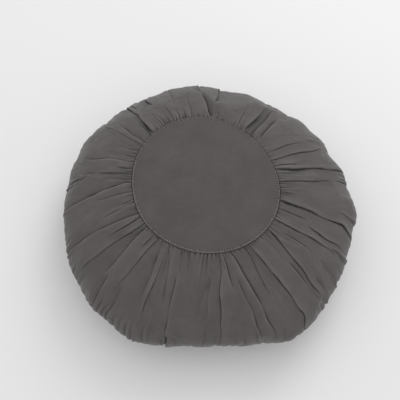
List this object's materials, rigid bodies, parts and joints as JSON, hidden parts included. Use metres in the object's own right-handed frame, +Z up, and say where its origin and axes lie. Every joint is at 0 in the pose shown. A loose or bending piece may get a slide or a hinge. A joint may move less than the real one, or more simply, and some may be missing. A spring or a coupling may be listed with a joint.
{
  "type": "round gathered cushion",
  "caption": "Round filled cushion with a plain centre panel and a gathered band wrapped round its rim, lying on its back.",
  "frame": {"origin": "middle of the outline, on the surface that the cushion lies on", "axes": "+Z up out of the front panel, +Y towards the top of the cushion as it was pictured, +X to its right"},
  "size_m": [0.39, 0.3792, 0.1194],
  "materials": {
    "cloth": "charcoal grey washed cotton in plain weave, matt"
  },
  "bodies": {
    "root": {"gathered_band": "cloth", "front_panel": "cloth", "back_panel": "cloth"}
  },
  "joints": []
}
